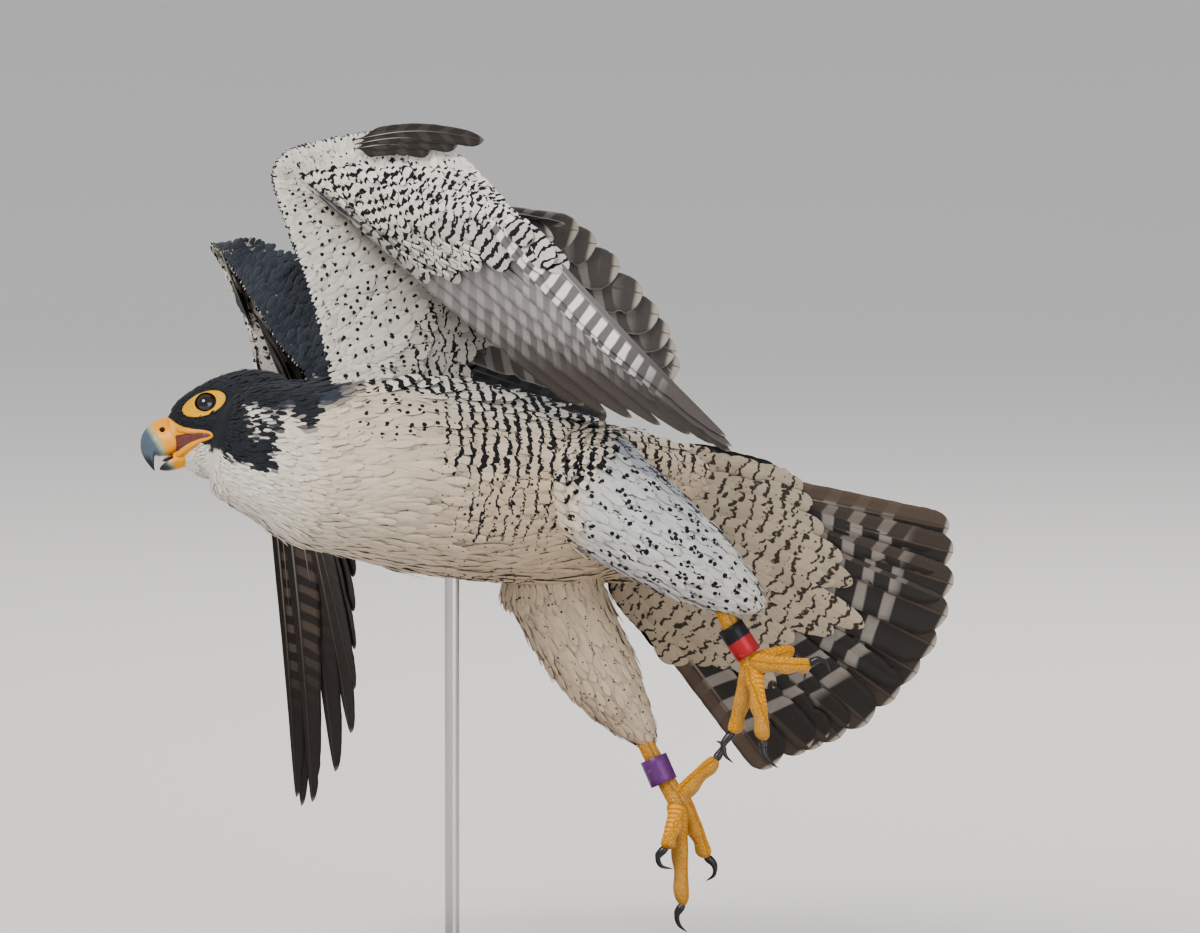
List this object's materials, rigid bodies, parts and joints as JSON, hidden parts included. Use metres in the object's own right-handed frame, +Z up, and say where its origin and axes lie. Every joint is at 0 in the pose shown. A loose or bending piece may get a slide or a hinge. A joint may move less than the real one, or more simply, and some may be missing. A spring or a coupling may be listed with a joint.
{
  "type": "peregrine falcon in flight",
  "caption": "Life-size still model of an adult peregrine falcon banking with wings flexed, tail fanned and feet lowered, held on a rod over a round wooden base.",
  "frame": {"origin": "centre of the underside of the stand's base, on the floor", "axes": "+Z up; the bird flies towards -X; +Y runs away from the viewer, who sees its left side and belly"},
  "size_m": [0.4471, 0.4377, 0.4839],
  "materials": {
    "plumage_dark": "matt feathers, blue-black",
    "plumage_pale": "matt feathers, cream with black bars",
    "flight_feathers": "stiff barred feathers, slight sheen",
    "horn": "polished horn, blue-grey with yellow base",
    "eye": "wet dark brown eye",
    "leg_skin": "yellow-orange scaled skin",
    "claw": "black horn",
    "band_red_black": "anodised band, black over red",
    "band_purple": "anodised purple band",
    "stand_wood": "satin dark wood",
    "stand_metal": "brushed steel rod"
  },
  "bodies": {
    "root": {"band_left": "band_red_black", "band_right": "band_purple", "bill_lower": "horn", "bill_upper": "horn", "claw_left_1": "claw", "claw_left_2": "claw", "claw_left_3": "claw", "claw_left_4": "claw", "claw_right_1": "claw", "claw_right_2": "claw", "claw_right_3": "claw", "claw_right_4": "claw", "eye_left": "eye", "eye_right": "eye", "foot_left": "leg_skin", "foot_right": "leg_skin", "head": "plumage_dark", "neck": "plumage_pale", "stand_base": "stand_wood", "stand_rod": "stand_metal", "tail": "flight_feathers", "thigh_left": "plumage_pale", "thigh_right": "plumage_pale", "trunk": "plumage_pale", "wing_left_alula": "flight_feathers", "wing_left_arm": "flight_feathers", "wing_left_hand": "flight_feathers", "wing_left_primaries": "flight_feathers", "wing_left_secondaries": "flight_feathers", "wing_right_alula": "flight_feathers", "wing_right_arm": "flight_feathers", "wing_right_hand": "flight_feathers", "wing_right_primaries": "flight_feathers", "wing_right_secondaries": "flight_feathers"}
  },
  "joints": []
}
